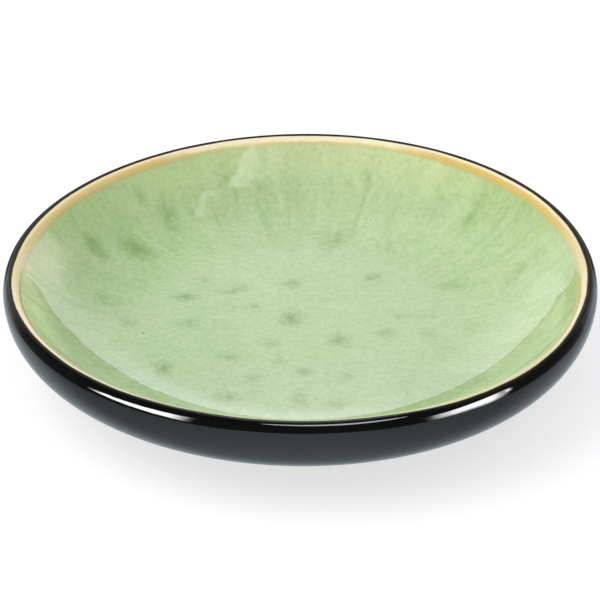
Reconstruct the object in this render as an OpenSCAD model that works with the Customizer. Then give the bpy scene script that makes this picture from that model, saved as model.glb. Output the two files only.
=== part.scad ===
// Soy sauce dish: a shallow round stoneware dish with a full belly, a rounded lip and a low foot ring.
// It is modelled as it is made: a fired clay body that carries four separate coats of glaze.
// Millimetres, +Z up. The origin is the centre of the plane that the foot ring stands on.

/* [Dish] */
// Overall diameter over the glaze at the widest point
dish_d = 90; // [80:1:110]
// Overall height from the foot to the crest of the lip
dish_h = 15; // [14:0.5:20]

/* [Outside] */
// Radius of the belly below the widest point
belly_r = 8; // [6:0.5:10]
// Plan distance from the widest point in to the crest of the lip
lip_inset = 1.1; // [0.9:0.1:2]
// Height from the widest point up to the crest of the lip
lip_rise = 2.2; // [1.5:0.1:3]

/* [Well] */
// Depth of the well below the crest of the lip
well_depth = 9.5; // [7:0.5:10]
// Radius of the hollow curve from the level floor up to the lip
well_r = 23; // [18:1:28]
// Radius of the rounded inner edge of the lip
lip_r = 2.3; // [1.5:0.1:3]

/* [Foot] */
// Outer diameter of the foot ring
foot_d = 49; // [42:1:56]
// Width of the foot ring from its outer side to its inner side
foot_w = 3.2; // [2.4:0.1:5]
// Height at which the finished underside meets the foot ring
foot_h = 1.2; // [0.9:0.1:2]
// Rounding radius of the edges of the land that the foot ring stands on
foot_edge_r = 0.4; // [0.2:0.1:0.6]
// Depth of the finished recess inside the foot ring
recess_h = 1.5; // [1.3:0.1:2]
// Radius of the corner between the recess and the foot ring
recess_r = 0.9; // [0.6:0.1:1.1]

/* [Glaze] */
// Thickness of the outer coat on the belly and underside
outer_glaze_t = 0.4; // [0.2:0.05:0.7]
// Thickness of the coat over the crest of the lip, where the glaze runs thin
rim_glaze_t = 0.25; // [0.15:0.05:0.5]
// Plan distance that the outer coat runs in over the crest before the rim band begins
crest_wrap = 0.3; // [0.1:0.05:0.6]
// Share of the lip's inner rounding at which the rim band ends and the well coat begins
rim_wrap_share = 0.78; // [0.5:0.02:0.9]
// Thickness of the well coat where it has pooled on the floor
pool_glaze_t = 0.7; // [0.4:0.05:1]
// Thickness of the coat in the recess under the base
base_glaze_t = 0.35; // [0.2:0.05:0.6]

/* [Hidden] */

// Straight steps along each curve of a section, along the short curve over the crest, and around the dish
arc_steps = 24;
crest_steps = 4;
turn_steps = 180;

// Widest point and crest of the lip
widest_z = dish_h - lip_rise;
crest_x = dish_d / 2 - lip_inset;

// The underside is the tangent from the top of the foot's side to the belly
belly_centre = [dish_d / 2 - belly_r, widest_z];
foot_top = [foot_d / 2, foot_h];
foot_to_belly = belly_centre - foot_top;
under_slope = atan2(foot_to_belly[1], foot_to_belly[0]) - asin(belly_r / norm(foot_to_belly));

// The lip's inner rounding and the well's hollow curve run into each other at one slope
lip_centre = [crest_x, dish_h - lip_r];
wall_slope = acos(1 - well_depth / (lip_r + well_r));
well_centre = [
    crest_x - (lip_r + well_r) * sin(wall_slope),
    dish_h - well_depth + well_r
];
crest_angle = 90 + asin(crest_wrap / lip_r);
seam_angle = 90 + wall_slope * rim_wrap_share;

// Recess under the base, measured to the clay behind its glaze
foot_inner_x = foot_d / 2 - foot_w;
recess_top = recess_h + base_glaze_t;
recess_centre = [foot_inner_x - recess_r, recess_top - recess_r];

function reverse(points) = [for (i = [len(points) - 1:-1:0]) points[i]];

// Points of an arc whose radius may change steadily along it, as a coat of glaze thickens
function arc(centre, from, to, r_from, r_to, steps = arc_steps) = [
    for (i = [0:steps])
        let (share = i / steps, angle = from + (to - from) * share)
            centre + (r_from + (r_to - r_from) * share) * [cos(angle), sin(angle)]
];

// Quarter ellipse from the widest point up to the crest of the lip
function lip_outside(side_coat, crest_coat) = [
    for (i = [0:arc_steps])
        let (angle = 90 * i / arc_steps)
            [crest_x + (lip_inset - side_coat) * cos(angle), widest_z + (lip_rise - crest_coat) * sin(angle)]
];

// Outside of the dish from the foot's side up and over the crest, set back by the coats over it
function outside_line(side_coat, crest_coat) = concat(
    [foot_top + [0, side_coat / cos(under_slope)]],
    arc(belly_centre, under_slope - 90, 0, belly_r - side_coat, belly_r - side_coat),
    lip_outside(side_coat, crest_coat),
    arc(lip_centre, 90, crest_angle, lip_r - crest_coat, lip_r - crest_coat, crest_steps)
);

// Inner rounding of the lip from the edge of the outer coat to the seam, set back by its coat
function rim_line(rim_coat) = arc(lip_centre, crest_angle, seam_angle, lip_r - rim_coat, lip_r - rim_coat);

// Inside of the dish from the seam down to the axis, set back by a coat that thickens to the floor
function well_line(rim_coat, pool_coat) = concat(
    arc(lip_centre, seam_angle, 90 + wall_slope, lip_r - rim_coat, lip_r - rim_coat),
    arc(well_centre, wall_slope - 90, -90, well_r + rim_coat, well_r + pool_coat),
    [[0, dish_h - well_depth - pool_coat]]
);

// Recess under the base from the axis out and down the inner side of the foot, covered by its coat
function recess_line(coat) = concat(
    [[0, recess_top - coat]],
    arc(recess_centre, 90, 0, recess_r - coat, recess_r - coat)
);

// Land of the foot ring from its inner side to its outer side, with rounded edges
function foot_line() = concat(
    arc([foot_inner_x + foot_edge_r, foot_edge_r], 180, 270, foot_edge_r, foot_edge_r),
    arc([foot_d / 2 - foot_edge_r, foot_edge_r], 270, 360, foot_edge_r, foot_edge_r)
);

// Turns a closed section about the axis of the dish
module turned(section) {
    rotate_extrude($fn = turn_steps) polygon(section);
}

// Turns the thin section between a finished face and the clay behind it
module coat(face, backing) {
    turned(concat(face, reverse(backing)));
}

// Fired clay dish with its foot ring; only the land and sides of the foot stay bare
module stoneware_body() {
    color("#b9a78c")
        turned(concat(
            outside_line(outer_glaze_t, rim_glaze_t),
            rim_line(rim_glaze_t),
            well_line(rim_glaze_t, pool_glaze_t),
            recess_line(0),
            foot_line()
        ));
}

// Black coat from the foot up over the belly and just over the crest of the lip
module outer_glaze() {
    color("#16181a")
        coat(outside_line(0, 0), outside_line(outer_glaze_t, rim_glaze_t));
}

// Honey band on the inner edge of the lip
module rim_glaze() {
    color("#d8b070")
        coat(rim_line(0), rim_line(rim_glaze_t));
}

// Green coat that lines the well and pools on its floor
module inner_glaze() {
    color("#a9c88f")
        coat(well_line(0, 0), well_line(rim_glaze_t, pool_glaze_t));
}

// Black coat inside the foot ring
module base_glaze() {
    color("#1a1c1e")
        coat(recess_line(0), recess_line(base_glaze_t));
}

stoneware_body();
outer_glaze();
rim_glaze();
inner_glaze();
base_glaze();
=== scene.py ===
import math

import bpy
import numpy as np
from mathutils import Euler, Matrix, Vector
from mathutils.bvhtree import BVHTree


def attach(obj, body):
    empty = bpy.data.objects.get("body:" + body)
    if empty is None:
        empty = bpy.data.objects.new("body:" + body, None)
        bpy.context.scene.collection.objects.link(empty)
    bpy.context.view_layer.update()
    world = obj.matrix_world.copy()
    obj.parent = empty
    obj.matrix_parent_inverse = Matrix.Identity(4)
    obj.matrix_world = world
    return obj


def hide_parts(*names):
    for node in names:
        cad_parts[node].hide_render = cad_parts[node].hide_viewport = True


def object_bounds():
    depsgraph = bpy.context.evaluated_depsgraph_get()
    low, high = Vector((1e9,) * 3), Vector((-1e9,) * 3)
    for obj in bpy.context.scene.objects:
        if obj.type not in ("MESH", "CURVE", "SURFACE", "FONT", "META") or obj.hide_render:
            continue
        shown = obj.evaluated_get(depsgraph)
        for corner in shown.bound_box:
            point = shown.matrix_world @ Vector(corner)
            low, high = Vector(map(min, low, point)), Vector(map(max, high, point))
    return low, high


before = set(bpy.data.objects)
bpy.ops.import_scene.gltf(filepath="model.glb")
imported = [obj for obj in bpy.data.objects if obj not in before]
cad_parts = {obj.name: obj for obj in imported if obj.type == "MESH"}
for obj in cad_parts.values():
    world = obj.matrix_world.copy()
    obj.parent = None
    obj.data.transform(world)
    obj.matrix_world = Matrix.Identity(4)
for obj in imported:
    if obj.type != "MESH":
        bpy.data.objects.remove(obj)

# A soy sauce dish: stoneware with a black glazed outside, a honey band on the lip and a mottled green well.
# Each visible piece is turned from the outline of its CAD node, finer than the node and a little out of
# true, as a thrown pot is. Lengths are in metres; a value whose name ends in mm is in millimetres.

cad_low, cad_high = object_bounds()
MM = 0.001


# Outlines of the CAD nodes

# Points of a turned mesh within this distance of each other lie on one ring
RING_GRID = 0.002 * MM


def ring_links(mesh):
    """The rings of a turned mesh as (radius, height) points, and which ring is joined to which."""
    points = np.array([vertex.co for vertex in mesh.vertices])
    rings = np.stack([np.hypot(points[:, 0], points[:, 1]), points[:, 2]], axis=1)
    cells, ring_of = np.unique(np.round(rings / RING_GRID), axis=0, return_inverse=True)
    same = (np.abs(cells[:, None] - cells[None]).max(axis=2) <= 1).argmax(axis=1)
    ring_of = same[ring_of.ravel()]
    edges = np.array([edge.vertices for edge in mesh.edges])
    links = {}
    for first, second in np.unique(np.sort(ring_of[edges], axis=1), axis=0):
        if first != second:
            links.setdefault(first, set()).add(second)
            links.setdefault(second, set()).add(first)
    return cells * RING_GRID, links


def section(node):
    """A CAD node's own outline as (radius, height) points, walked from ring to ring of its turned mesh."""
    rings, links = ring_links(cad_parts[node].data)
    ends = [ring for ring, joined in links.items() if len(joined) == 1]
    ring = min(ends or links)
    walked = []
    while ring is not None:
        walked.append(ring)
        ring = next((near for near in sorted(links[ring]) if near not in walked), None)
    outline = rings[walked]
    if ends:
        outline = np.concatenate([[[0, outline[0, 1]]], outline, [[0, outline[-1, 1]]]])
    after = np.roll(outline, -1, axis=0)
    area = (outline[:, 0] * after[:, 1] - outline[:, 1] * after[:, 0]).sum()
    return outline if area > 0 else outline[::-1]


def finer(outline, step):
    """The same outline with its long straight spans cut into steps."""
    points = []
    for start, end in zip(outline, np.roll(outline, -1, axis=0)):
        on_axis = start[0] == 0 and end[0] == 0
        cuts = 1 if on_axis else max(1, math.ceil(np.linalg.norm(end - start) / step))
        points.extend(start + (end - start) * cut / cuts for cut in range(cuts))
    return np.array(points)


outlines = {node: section(node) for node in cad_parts}

# The crest is the highest ring of the outer coat, and the foot its innermost one; the base coat lines the
# recess inside the foot
crest_radius, crest_height = outlines["outer_glaze"][outlines["outer_glaze"][:, 1].argmax()]
dish_radius = outlines["outer_glaze"][:, 0].max()
foot_radius = outlines["outer_glaze"][:, 0].min()
recess_radius = outlines["base_glaze"][:, 0].max()


# Camera

# Where the photograph shows the circle of the lip's crest, in its own pixels
PHOTO_PX = 600
CREST_CENTRE_PX = Vector((300.6, 267.5))
CREST_RADIUS_PX = 289.5
CAMERA_ELEVATION = math.radians(29.74)
CAMERA_DISTANCE_IN_CRESTS = 10.95
FOCAL_PX = CREST_RADIUS_PX * CAMERA_DISTANCE_IN_CRESTS
SENSOR_MM = 36
CLIP_START = 10 * MM


def make_camera():
    """Puts the camera where the crest of the lip fills the same ellipse as in the photograph."""
    data = bpy.data.cameras.new("camera")
    camera = bpy.data.objects.new("camera", data)
    bpy.context.scene.collection.objects.link(camera)
    bpy.context.scene.camera = camera
    data.sensor_width = SENSOR_MM
    data.lens = SENSOR_MM * FOCAL_PX / PHOTO_PX
    data.clip_start = CLIP_START
    back = Vector((0, -math.cos(CAMERA_ELEVATION), math.sin(CAMERA_ELEVATION)))
    camera.location = Vector((0, 0, crest_height)) + back * CAMERA_DISTANCE_IN_CRESTS * crest_radius
    off_px = CREST_CENTRE_PX - Vector((PHOTO_PX, PHOTO_PX)) / 2
    aim = Euler((math.atan(off_px.y / FOCAL_PX), math.atan(off_px.x / FOCAL_PX), 0))
    camera.rotation_mode = "QUATERNION"
    camera.rotation_quaternion = (-back).to_track_quat("-Z", "Y") @ aim.to_quaternion()
    bpy.context.view_layer.update()
    return camera


def on_well(pixel):
    """The point of the well, seen from above, that a pixel of the photograph shows."""
    local = Vector((pixel[0] - PHOTO_PX / 2, PHOTO_PX / 2 - pixel[1], -FOCAL_PX))
    ray = camera.matrix_world.to_3x3() @ local
    place, _, _, _ = well_tree.ray_cast(camera.location, ray)
    return place.xy


# Pieces

# Longest straight span along an outline, and flat sides round a piece, fewer where most of it is hidden
OUTLINE_STEP = 1.0 * MM
TURNS = 480
HIDDEN_TURNS = 240
# Edges that turn by more than this stay sharp
CORNER_TURN = math.radians(30)

# How far the lip stands out of true: (waves round the dish, height of a wave, angle of its crest)
RADIUS_WAVES = [(2, 0.11 * MM, math.radians(40)), (3, 0.085 * MM, math.radians(-38))]
HEIGHT_WAVES = [(2, 0.20 * MM, math.radians(46))]

# Each point keeps its plan distance in from the crest in this attribute, or on the outside, from this depth
# below the crest, its drop
INSET = "inset_mm"
CREST_DEPTH = 0.5 * MM


def waves(listed, angles):
    """Sum of the listed waves at each angle round the dish."""
    return sum(height * np.cos(count * (angles - crest)) for count, height, crest in listed)


def hand_shaped(points):
    """Moves points of a true turned form to where they lie on the warped one; the foot stays flat."""
    radius = np.hypot(points[:, 0], points[:, 1])
    angles = np.arctan2(points[:, 1], points[:, 0])
    share = np.clip((radius - foot_radius) / (dish_radius - foot_radius), 0, 1)
    moved = radius + share * waves(RADIUS_WAVES, angles)
    height = points[:, 2] + share * waves(HEIGHT_WAVES, angles)
    return np.stack([moved * np.cos(angles), moved * np.sin(angles), height], axis=1)


def insets(points, node):
    """Plan distance of each point in from the crest before the warping, below zero on the outside."""
    inset = crest_radius - np.hypot(points[:, 0], points[:, 1])
    drop = points[:, 2] - crest_height
    outside = (node == "outer_glaze") & (drop < -CREST_DEPTH)
    return np.where(outside, np.minimum(inset, drop), inset)


def ring_faces(first, on_axis, turns):
    """Faces between each ring and the next, from the number of each ring's first point."""
    faces = []
    for i, start in enumerate(first):
        j = (i + 1) % len(first)
        for k in range(0 if on_axis[i] and on_axis[j] else turns):
            m = (k + 1) % turns
            lower = [start] if on_axis[i] else [start + k, start + m]
            upper = [first[j]] if on_axis[j] else [first[j] + m, first[j] + k]
            faces.append(lower + upper)
    return faces


def turned_mesh(name, node, turns):
    """A closed mesh turned from a node's outline, whose points keep their distance from the crest."""
    outline = finer(outlines[node], OUTLINE_STEP)
    on_axis = outline[:, 0] == 0
    angles = np.arange(turns) * 2 * math.pi / turns
    circle = np.stack([np.cos(angles), np.sin(angles)], axis=1)
    points, first = [], []
    for (radius, height), axial in zip(outline, on_axis):
        first.append(len(points))
        ring = circle[:1] * 0 if axial else circle * radius
        points.extend((x, y, height) for x, y in ring)
    points = np.array(points)
    mesh = bpy.data.meshes.new(name)
    mesh.from_pydata(hand_shaped(points).tolist(), [], ring_faces(first, on_axis, turns))
    mesh.attributes.new(INSET, "FLOAT", "POINT").data.foreach_set("value", insets(points, node) / MM)
    mesh.shade_smooth()
    mesh.set_sharp_from_angle(angle=CORNER_TURN)
    return mesh


def turned(name, node, material, turns=TURNS):
    """A piece turned from the outline of the CAD node that it stands for."""
    mesh = turned_mesh(name, node, turns)
    mesh.materials.append(material)
    piece = bpy.data.objects.new(name, mesh)
    bpy.context.scene.collection.objects.link(piece)
    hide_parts(node)
    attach(piece, "root")
    return piece


# Shading

def linear(srgb):
    """A colour picked in 0 to 255 screen values, as the renderer's linear colour."""
    shares = [value / 255 for value in srgb]
    return [s / 12.92 if s <= 0.04045 else ((s + 0.055) / 1.055) ** 2.4 for s in shares] + [1]


class Shading:
    """Node calls on one node tree. Each gives back the socket that its node ends in."""

    def __init__(self, tree):
        self.tree = tree

    def feed(self, socket, value):
        if isinstance(value, bpy.types.NodeSocket):
            self.tree.links.new(value, socket)
        elif value is not None:
            socket.default_value = value

    def node(self, kind, *inputs, **settings):
        made = self.tree.nodes.new("ShaderNode" + kind)
        for key, value in settings.items():
            setattr(made, key, value)
        for socket, value in zip(made.inputs, inputs):
            self.feed(socket, value)
        return made

    def vector(self, operation, *inputs):
        made = self.node("VectorMath", *inputs, operation=operation)
        return made.outputs["Value" if operation in ("LENGTH", "DOT_PRODUCT") else "Vector"]

    def math(self, operation, *inputs):
        return self.node("Math", *inputs, operation=operation).outputs[0]

    def times(self, *values):
        product = values[0]
        for value in values[1:]:
            product = self.math("MULTIPLY", product, value)
        return product

    def plus(self, *values):
        total = values[0]
        for value in values[1:]:
            total = self.math("ADD", total, value)
        return total

    def eased(self, value, low, high, start=0.0, end=1.0):
        """Goes smoothly from start to end as the value goes from low to high."""
        made = self.node("MapRange", value, low, high, start, end, interpolation_type="SMOOTHSTEP")
        return made.outputs[0]

    def noise(self, vector, scale, detail=2.0, roughness=0.5):
        """Fractal noise from 0 to 1, mostly near 0.5; the scale is in waves to a unit of the vector."""
        return self.node("TexNoise", vector, None, scale, detail, roughness).outputs["Fac"]

    def blend(self, share, first, second):
        """Number between two numbers."""
        made = self.node("Mix")
        for index, value in ((0, share), (2, first), (3, second)):
            self.feed(made.inputs[index], value)
        return made.outputs[0]

    def mix(self, share, first, second):
        """Colour between two colours."""
        made = self.node("Mix", data_type="RGBA")
        for index, value in ((0, share), (6, first), (7, second)):
            self.feed(made.inputs[index], value)
        return made.outputs[2]

    def ramp(self, value, stops):
        """Colour at a value from 0 to 1, between (place, screen colour) stops."""
        made = self.node("ValToRGB", value)
        elements = made.color_ramp.elements
        while len(elements) < len(stops):
            elements.new(1)
        for element, (place, colour) in zip(elements, stops):
            element.position = place
            element.color = linear(colour)
        return made.outputs[0]


class Finish(Shading):
    """The nodes of one material of the dish, with the places on the dish that its looks depend on."""

    def __init__(self, name):
        self.material = bpy.data.materials.new(name)
        self.material.use_nodes = True
        super().__init__(self.material.node_tree)
        self.shader = self.tree.nodes["Principled BSDF"]
        place = self.node("TexCoord").outputs["Object"]
        self.place_mm = self.vector("MULTIPLY", place, (1 / MM, 1 / MM, 1 / MM))
        self.plan_mm = self.vector("MULTIPLY", self.place_mm, (1, 1, 0))
        self.outward = self.vector("NORMALIZE", self.plan_mm)
        self.inset_mm = self.node("Attribute", attribute_name=INSET).outputs["Fac"]
        self.radius_mm = self.math("SUBTRACT", crest_radius / MM, self.inset_mm)

    def toward(self, angle, reach):
        """1 at an angle round the dish, easing to 0 within a reach on both sides; degrees from the right."""
        angle, reach = math.radians(angle), math.radians(reach)
        middle = self.vector("DOT_PRODUCT", self.outward, (math.cos(angle), math.sin(angle), 0))
        return self.eased(middle, math.cos(reach), 1)

    def along(self, angle):
        """Plan distance in mm from the axis toward an angle round the dish, in degrees from the right."""
        angle = math.radians(angle)
        return self.vector("DOT_PRODUCT", self.plan_mm, (math.cos(angle), math.sin(angle), 0))

    def streaks(self, per_turn, per_mm, detail=2.0, roughness=0.5):
        """Noise drawn out along the radius: so many waves in a turn, and in a millimetre of the radius."""
        scale = per_turn / (2 * math.pi)
        along = self.node("CombineXYZ", None, None, self.times(self.radius_mm, per_mm / scale)).outputs[0]
        return self.noise(self.vector("ADD", self.outward, along), scale, detail, roughness)

    def bump(self, height, distance_mm):
        made = self.node("Bump")
        self.feed(made.inputs["Distance"], distance_mm * MM)
        self.feed(made.inputs["Height"], height)
        self.feed(self.shader.inputs["Normal"], made.outputs[0])

    def surface(self, **values):
        for name, value in values.items():
            self.feed(self.shader.inputs[name.replace("_", " ")], value)


# Spots in the glaze as they lie in the photograph: pixels of the two ends, half width in mm, strength
SPOTS = [
    # Left wall
    ((86, 237), (103, 255), 1.6, 0.8),
    ((124, 237), (148, 259), 1.9, 0.9),
    ((162, 199), (177, 236), 1.3, 0.62),
    ((134, 185), (145, 202), 0.9, 0.5),
    ((188, 204), (200, 222), 1.0, 0.35),
    ((121, 184), (128, 196), 0.7, 0.25),
    ((100, 197), (109, 206), 0.8, 0.25),
    ((50, 250), (76, 264), 1.2, 0.3),
    ((98, 255), (122, 272), 1.3, 0.3),
    ((162, 240), (180, 255), 1.2, 0.2),
    # Back wall
    ((221, 168), (230, 187), 1.5, 0.45),
    ((246, 184), (272, 185), 1.3, 0.35),
    ((205, 205), (230, 219), 1.6, 0.35),
    ((261, 203), (277, 219), 1.2, 0.15),
    ((324, 250), (349, 226), 1.8, 0.5),
    ((364, 169), (369, 187), 0.7, 0.45),
    ((350, 174), (347, 196), 0.8, 0.3),
    ((228, 241), (248, 252), 0.8, 0.25),
    ((392, 238), (380, 256), 1.2, 0.35),
    ((401, 160), (396, 178), 0.7, 0.25),
    ((424, 164), (420, 178), 0.8, 0.2),
    # Right wall
    ((482, 198), (461, 233), 1.2, 0.6),
    ((468, 188), (458, 204), 0.8, 0.25),
    ((536, 256), (509, 280), 1.5, 0.5),
    ((474, 274), (456, 279), 0.8, 0.3),
    ((507, 280), (498, 292), 0.9, 0.25),
    # Floor, left
    ((197, 276), (213, 284), 1.2, 0.4),
    ((172, 299), (197, 295), 1.2, 0.75),
    ((90, 296), (119, 303), 1.6, 0.4),
    ((117, 320), (144, 327), 1.4, 0.5),
    ((177, 325), (199, 322), 1.0, 0.5),
    ((154, 369), (172, 369), 1.9, 0.85),
    ((147, 356), (157, 354), 0.7, 0.3),
    ((219, 294), (248, 287), 1.1, 0.55),
    # Floor, middle
    ((284, 282), (303, 284), 1.3, 0.65),
    ((365, 279), (382, 275), 1.1, 0.65),
    ((246, 306), (261, 306), 1.2, 0.5),
    ((279, 318), (303, 318), 2.3, 0.7),
    ((319, 300), (333, 300), 1.0, 0.3),
    ((329, 344), (349, 336), 1.9, 0.65),
    ((264, 343), (281, 344), 1.3, 0.45),
    ((220, 355), (243, 359), 1.3, 0.55),
    ((270, 360), (291, 362), 1.2, 0.4),
    ((308, 359), (326, 359), 1.0, 0.3),
    ((294, 372), (313, 371), 1.4, 0.6),
    ((340, 377), (355, 376), 1.3, 0.45),
    ((350, 362), (363, 362), 1.0, 0.3),
    ((242, 378), (266, 379), 1.3, 0.5),
    ((215, 400), (237, 396), 1.5, 0.55),
    ((299, 391), (301, 408), 1.2, 0.45),
    ((327, 406), (345, 401), 1.5, 0.45),
    ((219, 324), (230, 324), 1.0, 0.2),
    ((316, 316), (329, 317), 1.0, 0.2),
    ((359, 347), (367, 347), 0.8, 0.2),
    # Floor, right
    ((376, 333), (396, 334), 1.4, 0.55),
    ((393, 316), (408, 316), 1.0, 0.4),
    ((414, 316), (436, 316), 1.0, 0.35),
    ((415, 333), (440, 336), 1.1, 0.45),
    ((435, 287), (466, 283), 1.2, 0.5),
    ((470, 290), (480, 289), 0.5, 0.35),
    ((399, 388), (414, 398), 1.2, 0.35),
]
# How far out a spot fades, in its own half sizes, and how far its outline drifts, in so many waves to a mm
SPOT_SPREAD = 1.8
SPOT_DRIFT_MM = 1.0
SPOT_WAVES_PER_MM = 0.3


def spots(finish):
    """How strongly any of the spots covers a place; their outlines drift, as in a melted glaze."""
    drift = finish.node("TexNoise", finish.place_mm, None, SPOT_WAVES_PER_MM).outputs["Color"]
    most, least = (2 * SPOT_DRIFT_MM, 2 * SPOT_DRIFT_MM, 0), (-SPOT_DRIFT_MM, -SPOT_DRIFT_MM, 0)
    shift = finish.vector("MULTIPLY_ADD", drift, most, least)
    place = finish.vector("ADD", finish.plan_mm, shift)
    total = 0.0
    for start, end, half_width, strength in SPOTS:
        start, end = on_well(start) / MM, on_well(end) / MM
        span = end - start
        local = finish.node("Mapping", place, vector_type="TEXTURE")
        local.inputs["Location"].default_value = (*(start + end) / 2, 0)
        local.inputs["Rotation"].default_value = (0, 0, math.atan2(span.y, span.x))
        local.inputs["Scale"].default_value = (span.length / 2 * SPOT_SPREAD, half_width * SPOT_SPREAD, 1)
        blot = finish.node("TexGradient", local.outputs[0], gradient_type="SPHERICAL")
        total = finish.math("MULTIPLY_ADD", blot.outputs["Fac"], strength, total)
    return total


# Colours of the well, by the share of the crest's radius
WELL_COLOURS = [
    (0.00, (192, 215, 170)),
    (0.50, (190, 214, 168)),
    (0.68, (189, 213, 165)),
    (0.86, (192, 215, 162)),
    (0.95, (197, 217, 160)),
]

# Shares of the crest's radius between which the floor turns into the wall, and the wall nears the lip
WALL_SHARES = (0.45, 0.72)
LIP_SHARES = (0.82, 0.96)

# Tints, laid one over the other: angle round the dish and reach in degrees, the shares of the crest's radius
# between which the tint comes in, its strength and its colour
# Painted shade: darker and greener on the back left and the back right of the wall
BACK_SHADE_TINTS = [
    (147, 43, WALL_SHARES, 0.33, (150, 196, 100)),
    (38, 40, WALL_SHARES, 0.14, (150, 196, 100)),
]
SIDE_TINTS = [
    # Painted shade at the front right, darker where the wall mirrors the dish rather than the bright studio
    (328, 66, (0.62, 0.86), 0.75, (177, 201, 146)),
    (270, 80, (0.1, 0.5), 0.45, (200, 219, 190)),
    # Painted shade on the left
    (195, 75, (0.1, 0.4), 0.4, (166, 196, 150)),
]
LIP_TINTS = [
    (138, 44, LIP_SHARES, 0.38, (208, 236, 164)),
    # Painted shade below the lip at the back right
    (40, 26, LIP_SHARES, 0.3, (150, 178, 100)),
    # Painted shade in a narrow ring below the lip on the right
    (352, 15, (0.905, 0.93), 0.6, (144, 160, 86)),
    # Painted light below the lip on the left
    (198, 24, (0.85, 0.92), 0.85, (230, 248, 182)),
]


def tinted(finish, colour, share, tints):
    """Lays tints over a colour, each strongest at its own angle and beyond its shares of the radius."""
    for angle, reach, shares, strength, tint in tints:
        cover = finish.times(finish.toward(angle, reach), finish.eased(share, *shares), strength)
        colour = finish.mix(cover, colour, linear(tint))
    return colour


def darker_patch(finish, colour, on_wall, near_lip):
    """A duller patch on the back wall below the lip, just left of its middle."""
    below_lip = finish.math("SUBTRACT", 1.0, near_lip)
    cover = finish.times(finish.toward(104, 24), on_wall, below_lip, 0.25)
    return finish.mix(cover, colour, linear((150, 184, 128)))


# Painted shade on the front wall, right and left: two darker crescents where the wall mirrors the dish
# rather than the bright studio. A crescent is measured by the mean of the distance toward one angle and the
# distance from the axis, as a share of the crest's radius: that angle; the angle and reach of the crescent
# in degrees;
# the shares between which it comes in; the shares between which it goes from the first of its two strengths
# to the second
CRESCENT_SHADES = [
    (311, 305, 46, (0.551, 0.702), (0.763, 0.843), (0.72, 0.25)),
    (228, 219, 36, (0.638, 0.718), (0.752, 0.809), (0.32, 0.05)),
]
CRESCENT_DRIFT_MM = 1.5
CRESCENT_WAVES_PER_MM = 0.16


def crescent_shade(finish, colour):
    """Lays the painted shade of the crescents over a colour; their edges drift."""
    wander = finish.noise(finish.plan_mm, CRESCENT_WAVES_PER_MM, 3.0)
    drift = finish.math("MULTIPLY_ADD", wander, 2 * CRESCENT_DRIFT_MM, -CRESCENT_DRIFT_MM)
    total = 0.0
    for straight, angle, reach, comes, goes, strengths in CRESCENT_SHADES:
        both = finish.plus(finish.along(straight), finish.radius_mm, drift)
        mean = finish.times(both, 0.5 * MM / crest_radius)
        strength = finish.eased(mean, *goes, *strengths)
        cover = finish.times(finish.toward(angle, reach), finish.eased(mean, *comes), strength)
        total = finish.plus(total, cover)
    return finish.mix(total, colour, linear((126, 158, 94)))


# How far in front of the axis the painted reflection on the left side of the wall ends, fading between two
# distances in mm
LEFT_END_MM = (2.9, 1.3)


def left_painted_reflection(finish, colour, share):
    """Painted reflection that lightens the left side of the wall, most of all its front end beside the lip.
    """
    behind = finish.eased(finish.along(270), *LEFT_END_MM)
    strength = finish.eased(behind, 0.0, 1.0, 0.5, 0.95)
    side = finish.times(finish.toward(174, 20), finish.eased(share, 0.8, 0.92), strength)
    colour = finish.mix(side, colour, linear((226, 237, 188)))
    tip = finish.times(finish.toward(179, 7), finish.eased(share, 0.92, 0.945), behind)
    return finish.mix(tip, colour, linear((238, 247, 196)))


# How patterns break a colour up: the pattern's values between which a tint comes in, its strength and colour
RING_BREAKS = [((0.52, 0.72), 0.45, (206, 222, 170)), ((0.48, 0.28), 0.45, (138, 170, 104))]
STREAK_BREAKS = [((0.5, 0.68), 0.45, (142, 176, 106)), ((0.5, 0.34), 0.5, (200, 220, 172))]
CLOUD_BREAKS = [((0.45, 0.75), 0.35, (194, 214, 176))]
MOTTLE_BREAKS = [((0.5, 0.7), 0.18, (164, 194, 142)), ((0.5, 0.3), 0.2, (208, 226, 190))]


def broken(finish, colour, pattern, breaks, cover=1.0):
    """Breaks a colour up by a pattern, as far as the cover reaches."""
    for values, strength, tint in breaks:
        share = finish.times(finish.eased(pattern, *values), cover, strength)
        colour = finish.mix(share, colour, linear(tint))
    return colour


def ringed(finish, colour, share):
    """Faint rings from the throwing, on the front wall."""
    cover = finish.times(finish.toward(270, 100), finish.eased(share, 0.7, 0.8))
    return broken(finish, colour, finish.streaks(6, 0.45, 2.0, 0.6), RING_BREAKS, cover)


def streaked(finish, colour, on_wall, broad):
    """Streaks of three widths that run down the wall."""
    middling = finish.streaks(120, 0.06, 2.0, 0.5)
    fine = finish.streaks(240, 0.10, 3.0, 0.6)
    streak = finish.times(finish.plus(broad, middling, fine), 1 / 3)
    return broken(finish, colour, streak, STREAK_BREAKS, on_wall)


def clouded(finish, colour):
    """Pale clouds and a smaller mottling all over."""
    colour = broken(finish, colour, finish.noise(finish.place_mm, 0.10, 3.0), CLOUD_BREAKS)
    return broken(finish, colour, finish.noise(finish.place_mm, 0.32, 3.0, 0.55), MOTTLE_BREAKS)


def haloed(finish, colour, near_lip, broad):
    """A paler edge below the lip at the back, weaker where the broad streaks are dark."""
    back = finish.plus(finish.toward(92, 54), finish.times(finish.toward(64, 24), 0.5))
    halo = finish.times(back, near_lip, finish.eased(broad, 0.25, 0.65, 0.8, 0.4))
    return finish.mix(halo, colour, linear((220, 230, 174)))


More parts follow.
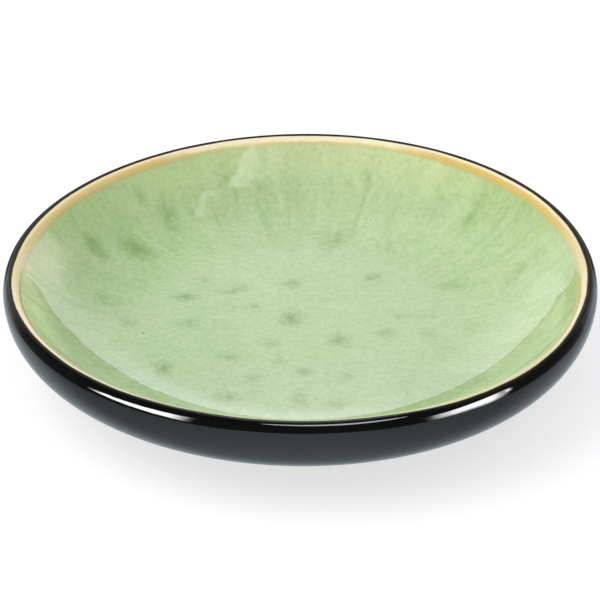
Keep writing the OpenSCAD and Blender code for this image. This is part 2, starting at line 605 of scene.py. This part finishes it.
def spotted(finish, colour, on_wall):
    """Lays the spots and a fine grain over a colour; the light side of the grain stays between the spots."""
    grain = finish.noise(finish.place_mm, 1.1, 5.0, 0.7)
    cover = finish.times(spots(finish), finish.eased(grain, 0.25, 0.65, 0.75, 1.1))
    tint = finish.mix(on_wall, linear((120, 152, 104)), linear((122, 158, 76)))
    spot = finish.eased(cover, 0.0, 1.0, 0.0, 0.8)
    colour = finish.mix(spot, colour, tint)
    colour = finish.mix(finish.eased(grain, 0.4, 0.85, 0.0, 0.4), colour, linear((142, 170, 116)))
    bright = finish.times(finish.eased(grain, 0.6, 0.15, 0.0, 0.4), finish.math("SUBTRACT", 1.0, spot))
    return finish.mix(bright, colour, linear((206, 224, 188)))


# A pinhole in the glaze, and a dark speck: pixels of the photograph and radius in mm
PINHOLE = ((371, 220), 0.22)
SPECK = ((143, 333), 0.2)


def mark(finish, listed):
    """1 in the middle of a small round mark, easing to 0 at twice its radius."""
    pixel, radius = listed
    away = finish.vector("LENGTH", finish.vector("SUBTRACT", finish.plan_mm, (*on_well(pixel) / MM, 0)))
    return finish.eased(away, 2 * radius, 0.0)


def marked(finish, colour):
    """Adds the pinhole, dark with a pale rim, and the speck."""
    pin = mark(finish, PINHOLE)
    colour = finish.mix(finish.eased(pin, 0.0, 0.4), colour, linear((220, 232, 204)))
    colour = finish.mix(finish.eased(pin, 0.6, 0.9), colour, linear((60, 80, 50)))
    return finish.mix(finish.times(mark(finish, SPECK), 0.65), colour, linear((62, 78, 50)))


def well_colour(finish):
    """Pale green glaze, streaked on the wall and spotted. Painted shade makes it darker and greener at the
    back and darker at the front right, on the left and in crescents at the front; painted light pales its
    left side.
    """
    share = finish.math("DIVIDE", finish.radius_mm, crest_radius / MM)
    on_wall = finish.eased(share, *WALL_SHARES)
    near_lip = finish.eased(share, *LIP_SHARES)
    broad = finish.streaks(50, 0.05, 3.0, 0.6)
    colour = tinted(finish, finish.ramp(share, WELL_COLOURS), share, BACK_SHADE_TINTS)
    colour = darker_patch(finish, colour, on_wall, near_lip)
    colour = tinted(finish, colour, share, SIDE_TINTS)
    colour = crescent_shade(finish, colour)
    colour = tinted(finish, colour, share, LIP_TINTS)
    colour = left_painted_reflection(finish, colour, share)
    colour = ringed(finish, colour, share)
    colour = streaked(finish, colour, on_wall, broad)
    colour = clouded(finish, colour)
    colour = haloed(finish, colour, near_lip, broad)
    colour = spotted(finish, colour, on_wall)
    return marked(finish, colour)


# Colours across the band on the lip, by their places in mm, with the edge of the black at its own place:
# cream at the back, honey on both sides of it, straw at the sides, and a rusty inner edge on both sides of
# the front. The near-white toward the crest, most of all in the cream, is partly glaze thinned over the clay
# and partly a painted highlight
BAND_MM = 2.4
EDGE_PLACE_MM = 0.4
CREAM_AND_HIGHLIGHT_BAND = [
    (0.0, (250, 241, 210)),
    (0.8, (251, 242, 206)),
    (1.2, (252, 243, 204)),
    (1.36, (246, 234, 184)),
    (1.5, (228, 216, 158)),
    (1.75, (220, 210, 148)),
]
HONEY_BAND = [
    (0.0, (250, 240, 214)),
    (0.75, (251, 238, 200)),
    (0.95, (236, 215, 156)),
    (1.15, (223, 193, 120)),
    (1.4, (226, 194, 112)),
    (1.6, (224, 192, 108)),
    (1.85, (206, 184, 103)),
    (2.2, (188, 182, 104)),
]
RUST_BAND = [
    (0.0, (250, 236, 206)),
    (0.9, (247, 231, 194)),
    (1.2, (230, 210, 156)),
    (1.42, (208, 180, 116)),
    (1.7, (192, 182, 120)),
]
STRAW_BAND = [
    (0.0, (244, 228, 192)),
    (0.6, (236, 220, 176)),
    (0.9, (229, 214, 166)),
    (1.2, (225, 213, 164)),
    (1.5, (219, 212, 164)),
    (1.75, (212, 210, 164)),
]

# Parts of the band, by angle round the dish and reach in degrees
BAND_BACK = (90, 85)
BAND_FRONT = (270, 85)
HONEY_RUNS = [(144, 35), (37, 38)]
RUSTY_PARTS = [(216, 40), (343, 30)]

# Tints of the band: angle round the dish and reach in degrees, strength and colour
BAND_TINTS = [
    (*BAND_FRONT, 0.8, (204, 214, 173)),
    (150, 42, 0.4, (242, 224, 164)),
    # Painted shade on the right of the band
    (352, 44, 0.35, (210, 198, 146)),
]


def band_colour(finish, place, runs):
    """Colour at a place across the band, from the four ramps, which take turns round the dish."""
    place = finish.times(place, 1 / BAND_MM)
    cream, honey, straw, rust = (
        finish.ramp(place, [(at / BAND_MM, colour) for at, colour in band])
        for band in (CREAM_AND_HIGHLIGHT_BAND, HONEY_BAND, STRAW_BAND, RUST_BAND))
    colour = finish.mix(finish.toward(*BAND_BACK), straw, cream)
    colour = finish.mix(runs, colour, honey)
    rusty = finish.plus(*(finish.toward(*part) for part in RUSTY_PARTS))
    colour = finish.mix(rusty, colour, rust)
    for angle, reach, strength, tint in BAND_TINTS:
        colour = finish.mix(finish.times(finish.toward(angle, reach), strength), colour, linear(tint))
    grain = finish.noise(finish.place_mm, 3.0, 3.0, 0.7)
    return finish.mix(finish.eased(grain, 0.45, 0.75, 0.0, 0.25), colour, linear((214, 184, 124)))


# How far in from the crest the black ends, and how much further it wanders
EDGE_START_MM = 0.3
EDGE_WANDER_MM = 0.3
# Where the edge of the black draws back: angle round the dish and reach in degrees, and distance in mm
EDGE_DIPS = [(215, 45, 0.35), (312, 30, 0.6), (268, 36, -0.22)]
# Places across the band between which it fades into the well, how much further the honey runs, how much less
# far the front does, and how ragged the inner part of the band is
FADE_START_MM = 1.5
FADE_END_MM = 2.05
HONEY_RUN_MM = 0.2
FRONT_SHORT_MM = 0.3
RAGGED_MM = 0.65
# How much more quickly the places pass at the front, and how patchy the honey runs are
FRONT_SQUEEZE = 0.95
RUN_PATCHES = 1.2


def black_edge(finish):
    """How far in from the crest the black ends, in mm."""
    wander = finish.math("MULTIPLY_ADD", finish.streaks(40, 0.0, 3.0), EDGE_WANDER_MM, EDGE_START_MM)
    dips = [finish.times(finish.toward(angle, reach), dip) for angle, reach, dip in EDGE_DIPS]
    return finish.math("SUBTRACT", wander, finish.plus(*dips))


def lip(finish, outside, inside):
    """Colour from the outside over the crest to the inside, and how much of it is clear of the black."""
    past_edge = finish.math("SUBTRACT", finish.inset_mm, black_edge(finish))
    front = finish.toward(*BAND_FRONT)
    uneven = finish.math("SUBTRACT", finish.streaks(500, 0.5, 4.0, 0.7), 0.5)
    ragged = finish.times(uneven, finish.eased(past_edge, 0.4, 1.2), RAGGED_MM)
    patchy = finish.math("MULTIPLY_ADD", finish.streaks(30, 0.0, 3.0), RUN_PATCHES, -RUN_PATCHES / 2)
    runs = finish.eased(finish.plus(*(finish.toward(*run) for run in HONEY_RUNS), patchy), 0.1, 0.75)
    narrowed = finish.math("MULTIPLY_ADD", front, FRONT_SQUEEZE, 1.0)
    place = finish.plus(finish.times(past_edge, narrowed), ragged, EDGE_PLACE_MM)
    further = finish.math("SUBTRACT", finish.times(runs, HONEY_RUN_MM), finish.times(front, FRONT_SHORT_MM))
    past_band = finish.eased(place, FADE_START_MM, finish.plus(FADE_END_MM, further))
    colour = finish.mix(past_band, band_colour(finish, place, runs), inside)
    colour = finish.mix(finish.eased(past_edge, 0.0, 0.14), linear((74, 62, 36)), colour)
    thin = finish.mix(finish.eased(past_edge, -0.6, -0.05), outside, linear((44, 39, 25)))
    clear = finish.eased(past_edge, -0.08, 0.04)
    return finish.mix(clear, thin, colour), clear


# Distances beside the foot ring between which the coat turns from brown to black, and how far they wander
BROWN_MM = (-0.3, 0.4)
BROWN_WANDER_MM = 0.8


def black_colour(finish):
    """Deep black glaze, a little uneven; it breaks to brown where it thins out beside the foot ring."""
    depth = finish.noise(finish.place_mm, 0.25, 3.0)
    black = finish.ramp(depth, [(0.3, (5, 6, 6)), (0.7, (9, 10, 10))])
    foot_middle = (foot_radius + recess_radius) / 2 / MM
    foot_half = (foot_radius - recess_radius) / 2 / MM
    off_axis = finish.vector("LENGTH", finish.plan_mm)
    off_foot = finish.math("ABSOLUTE", finish.math("SUBTRACT", off_axis, foot_middle))
    wander = finish.times(finish.streaks(60, 0.0, 3.0), BROWN_WANDER_MM)
    beside = finish.math("SUBTRACT", off_foot, wander)
    thin = finish.eased(beside, foot_half + BROWN_MM[1], foot_half + BROWN_MM[0])
    return finish.mix(thin, black, linear((48, 34, 24)))


# Strength of the mirrored light on the clear glaze, on the black and on the black's edge; 0.5 is plain glass
WELL_GLOSS = 1.0
BLACK_GLOSS = 0.5
EDGE_GLOSS = 0.25
# Distances in from the crest in mm between which the black goes over to the gloss of its edge
EDGE_GLOSS_MM = (-0.8, -0.35)
# Colour under the fading band where a coat has no colour of its own inside
UNDER_BAND = (190, 206, 150)


def glazed(name, inside=None):
    """Gloss glaze, black on the outside of the crest and clear over its colours on the inside."""
    finish = Finish(name)
    colour, clear = lip(finish, black_colour(finish), inside(finish) if inside else linear(UNDER_BAND))
    black_gloss = finish.eased(finish.inset_mm, *EDGE_GLOSS_MM, BLACK_GLOSS, EDGE_GLOSS)
    gloss = WELL_GLOSS if inside else finish.blend(clear, black_gloss, WELL_GLOSS)
    finish.surface(Base_Color=colour, Roughness=0.05, IOR=1.5, Specular_IOR_Level=gloss)
    finish.bump(finish.noise(finish.place_mm, 0.3, 2.0), distance_mm=0.03)
    return finish.material


def base_glaze(name):
    """Black gloss inside the foot ring, with a few pits."""
    finish = Finish(name)
    pits = finish.eased(finish.noise(finish.place_mm, 0.9, 1.0), 0.7, 0.76, 0.0, -2.0)
    finish.surface(Base_Color=black_colour(finish), Roughness=0.08)
    finish.bump(finish.plus(finish.noise(finish.place_mm, 0.4, 3.0), pits), distance_mm=0.05)
    return finish.material


def bare_clay(name):
    """Fired stoneware with a sandy grain and the rings of the turning tool."""
    finish = Finish(name)
    grain = finish.noise(finish.place_mm, 2.5, 5.0, 0.65)
    rings = finish.streaks(3, 1.6, 2.0, 0.6)
    tone = finish.times(finish.plus(grain, rings), 0.5)
    colour = finish.ramp(tone, [(0.3, (158, 138, 110)), (0.5, (186, 168, 140)), (0.7, (204, 188, 161))])
    iron = finish.eased(finish.noise(finish.place_mm, 1.7, 1.0), 0.68, 0.74, 0.0, 0.7)
    colour = finish.mix(iron, colour, linear((96, 70, 48)))
    finish.surface(Base_Color=colour, Roughness=0.85)
    finish.bump(finish.plus(grain, rings), distance_mm=0.1)
    return finish.material


# Light

LAMP_DISTANCE = 1.2

# Lamps overhead that one piece mirrors: shape, middle and size as shares of the height, turn in degrees and
# radiance
LIP_LIGHT = ("ELLIPSE", (0.2, -0.42), (0.72, 0.42), -12, 18)
UPPER_WINDOW = ("RECTANGLE", (0.2, -0.49), (0.3, 0.85), 7, 1.6)
LOWER_WINDOW = ("RECTANGLE", (0.29, 0.16), (0.14, 0.4), 13, 1.2)


def area_lamp(name, shape, width, depth, radiance):
    """A lamp of the given size and brightness that faces down; it isn't seen itself."""
    data = bpy.data.lights.new(name, "AREA")
    data.shape = shape
    data.size = width
    data.size_y = depth
    area = width * depth * (math.pi / 4 if shape == "ELLIPSE" else 1)
    data.energy = radiance * math.pi * area
    lamp = bpy.data.objects.new(name, data)
    bpy.context.scene.collection.objects.link(lamp)
    lamp.visible_camera = False
    return lamp


def soft_light(azimuth, elevation, width, radiance):
    """The main light, a round soft box; angles in degrees, azimuth 0 at the back and 90 on the right."""
    az, el = math.radians(azimuth), math.radians(elevation)
    toward = Vector((math.sin(az) * math.cos(el), math.cos(az) * math.cos(el), math.sin(el)))
    across = 2 * LAMP_DISTANCE * math.tan(math.radians(width) / 2)
    lamp = area_lamp("soft_light", "ELLIPSE", across, across, radiance)
    lamp.location = toward * LAMP_DISTANCE
    lamp.rotation_mode = "QUATERNION"
    lamp.rotation_quaternion = toward.to_track_quat("Z", "Y")
    lamp.visible_glossy = False


def ceiling_light(name, piece, shape, middle, size, turn, radiance):
    """A lamp overhead that only one piece mirrors, and that lights nothing else."""
    lamp = area_lamp(name, shape, size[0] * LAMP_DISTANCE, size[1] * LAMP_DISTANCE, radiance)
    lamp.location = Vector((*middle, 1)) * LAMP_DISTANCE
    lamp.rotation_euler.z = math.radians(turn)
    lamp.visible_diffuse = False
    mirrors = bpy.data.collections.new(name + "_mirrors")
    mirrors.objects.link(piece)
    lamp.light_linking.receiver_collection = mirrors
    return lamp


def fade_across(lamp):
    """Fades a lamp from one side to the other."""
    lamp.data.use_nodes = True
    shading = Shading(lamp.data.node_tree)
    across = shading.node("SeparateXYZ", shading.node("NewGeometry").outputs["Parametric"]).outputs[0]
    emission = lamp.data.node_tree.nodes["Emission"]
    shading.feed(emission.inputs["Strength"], shading.times(across, across))


# The studio as mirrored rays see it, by their direction: x to the right, y to the back and z up as parts of
# 1, and angles in degrees

# Bright panels: azimuths of both ends, elevations of the middle line at both ends and half heights at both
# ends; how softly a panel fades, as shares of its length at both ends and of its half height at the lower
# and upper edge; radiance
SOFT_BOXES = [
    ((-98, -143), (-3.6, 13), (2.8, 17), (0.27, 0.25, 0.3, 0.2), 26),
    ((136, 99), (0, -2), (12, 19), (0.38, 0.3, 0.8, 0.15), 22),
    ((103, 99.5), (3, 3), (8, 8), (0.4, 0.4, 0.4, 0.4), 14),
]


def soft_box(shading, azimuth, elevation, ends, middles, halves, soft, radiance):
    """Brightness of one panel; its middle line and half height change steadily from end to end."""
    share = shading.node("MapRange", azimuth, *ends, clamp=False).outputs[0]
    middle = shading.node("MapRange", share, 0.0, 1.0, *middles, clamp=False).outputs[0]
    half = shading.node("MapRange", share, 0.0, 1.0, *halves).outputs[0]
    off = shading.math("DIVIDE", shading.math("SUBTRACT", elevation, middle), half)
    along = shading.times(shading.eased(share, 0.0, soft[0]), shading.eased(share, 1.0, 1.0 - soft[1]))
    across = shading.times(shading.eased(off, -1.0, soft[2] - 1.0), shading.eased(off, 1.0, 1.0 - soft[3]))
    return shading.times(along, across, radiance)


def mirrored_stand(shading, azimuth, elevation):
    """1 on a dark stand in front of the bright back, 0 beside and above it."""
    aside = shading.math("ABSOLUTE", azimuth)
    off_middle = shading.math("ABSOLUTE", shading.math("SUBTRACT", azimuth, 1))
    top = shading.times(shading.eased(off_middle, 31.5, 28.5), shading.eased(aside, 14, 24, 9.3, 7.6))
    below_top = shading.eased(shading.math("SUBTRACT", elevation, top), 0.7, -0.7)
    return shading.times(below_top, shading.eased(aside, 33, 30))


# Brightness of the darkest parts above the table
DARK_STRENGTH = 0.08


def mirrored_back(shading, x, y, z, azimuth, elevation):
    """Brightness above the table: bright and low at the back, dim at the sides and dark in front."""
    aside = shading.math("ABSOLUTE", azimuth)
    low = shading.eased(z, 0.56, 0.30, 0.25, 0.9)
    back = shading.times(shading.eased(y, 0.15, 0.6), low, shading.math("MULTIPLY_ADD", x, -0.25, 1.05))
    sides = shading.times(shading.eased(aside, 42, 60, 1.0, 0.12), shading.eased(x, -0.5, -0.6, 1.0, 0.5))
    glow = shading.times(shading.eased(azimuth, -19, -8), shading.eased(azimuth, 26, 14),
                         shading.eased(elevation, 20, 11, 0.0, 0.2))
    stand = mirrored_stand(shading, azimuth, elevation)
    free = shading.math("SUBTRACT", 1.0, stand)
    return shading.plus(shading.times(back, sides, shading.plus(glow, 1.0), free), DARK_STRENGTH)


def mirrored_table(shading, x, y):
    """Brightness of the table: brighter toward the camera, dimmer on both sides of it."""
    sides = shading.plus(shading.eased(x, -0.1, -0.8, 0.0, -0.2), shading.eased(x, 0.1, 0.8, 0.0, -0.22))
    beside = shading.times(sides, shading.eased(y, 0.3, -0.1))
    lift = shading.times(shading.eased(y, 0.1, 0.45), shading.math("MULTIPLY_ADD", x, -0.12, 0.16))
    return shading.plus(shading.eased(y, 0.6, -0.7, 0.5, 1.02), lift, beside)


# Brightness of the even studio, and the colours of the light from above the table and from the table
STUDIO_STRENGTH = 0.72
WHITE = (1, 1, 1, 1)
TABLE_TINT = (0.9, 1.02, 1.07, 1)


def make_world():
    """An even white studio; mirrored rays see the other one, with its back, soft boxes and table."""
    world = bpy.data.worlds.new("studio")
    bpy.context.scene.world = world
    world.use_nodes = True
    shading = Shading(world.node_tree)
    x, y, z = shading.node("SeparateXYZ", shading.node("TexCoord").outputs["Generated"]).outputs
    azimuth = shading.math("DEGREES", shading.math("ARCTAN2", x, y))
    elevation = shading.math("DEGREES", shading.math("ARCSINE", z))
    table_edge = shading.eased(shading.math("ABSOLUTE", azimuth), 90, 180, -0.32, -0.06)
    above = shading.eased(shading.math("SUBTRACT", z, table_edge), -0.03, 0.03)
    back = mirrored_back(shading, x, y, z, azimuth, elevation)
    boxes = [soft_box(shading, azimuth, elevation, *box) for box in SOFT_BOXES]
    studio = shading.plus(shading.blend(above, mirrored_table(shading, x, y), back), *boxes)
    path = shading.node("LightPath").outputs
    mirrored = path["Is Glossy Ray"]
    strength = shading.blend(mirrored, STUDIO_STRENGTH, studio)
    strength = shading.blend(path["Is Camera Ray"], strength, 1.0)
    tint = shading.mix(above, TABLE_TINT, WHITE)
    background = world.node_tree.nodes["Background"]
    shading.feed(background.inputs["Color"], shading.mix(mirrored, WHITE, tint))
    shading.feed(background.inputs["Strength"], strength)


# Half width of the floor, and its distance below the foot
FLOOR_HALF = 2.0
FLOOR_GAP = 0.02 * MM
# Colour of the floor for the light that it throws back on the dish, and its colour and glow for the camera
FLOOR_BOUNCE = (232, 238, 242)
FLOOR_SEEN = (170, 170, 170)
FLOOR_GLOW = 0.68


def floor_paper(name):
    """White paper without gloss; a glow in the camera's view keeps it white outside the shadow."""
    material = bpy.data.materials.new(name)
    material.use_nodes = True
    shading = Shading(material.node_tree)
    paper = material.node_tree.nodes["Principled BSDF"]
    seen = shading.node("LightPath").outputs["Is Camera Ray"]
    colour = shading.mix(seen, linear(FLOOR_BOUNCE), linear(FLOOR_SEEN))
    shading.feed(paper.inputs["Base Color"], colour)
    shading.feed(paper.inputs["Roughness"], 0.8)
    shading.feed(paper.inputs["Specular IOR Level"], 0.0)
    shading.feed(paper.inputs["Emission Color"], WHITE)
    shading.feed(paper.inputs["Emission Strength"], shading.times(seen, FLOOR_GLOW))
    return material


def make_floor():
    """A plain white floor that keeps the dish's shadow."""
    mesh = bpy.data.meshes.new("floor")
    corners = [(-FLOOR_HALF, -FLOOR_HALF, 0), (FLOOR_HALF, -FLOOR_HALF, 0)]
    corners += [(FLOOR_HALF, FLOOR_HALF, 0), (-FLOOR_HALF, FLOOR_HALF, 0)]
    mesh.from_pydata(corners, [], [(0, 1, 2, 3)])
    mesh.materials.append(floor_paper("white_floor"))
    floor = bpy.data.objects.new("floor", mesh)
    bpy.context.scene.collection.objects.link(floor)
    floor.location.z = cad_low.z - FLOOR_GAP
    floor.visible_glossy = False


camera = make_camera()
well_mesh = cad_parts["inner_glaze"].data
well_points = [vertex.co for vertex in well_mesh.vertices]
well_tree = BVHTree.FromPolygons(well_points, [face.vertices for face in well_mesh.polygons])

turned("clay_body", "stoneware_body", bare_clay("fired_clay"), HIDDEN_TURNS)
outer_coat = turned("black_outer_coat", "outer_glaze", glazed("black_gloss"))
turned("honey_rim_coat", "rim_glaze", glazed("lip_gloss"))
well_coat = turned("green_well_coat", "inner_glaze", glazed("well_gloss", well_colour))
turned("black_base_coat", "base_glaze", base_glaze("base_gloss"), HIDDEN_TURNS)

make_world()
make_floor()
soft_light(azimuth=-95, elevation=48, width=56, radiance=2.2)
ceiling_light("lip_light", outer_coat, *LIP_LIGHT)
fade_across(ceiling_light("upper_window", well_coat, *UPPER_WINDOW))
fade_across(ceiling_light("lower_window", well_coat, *LOWER_WINDOW))

bpy.context.scene.view_settings.view_transform = "Standard"
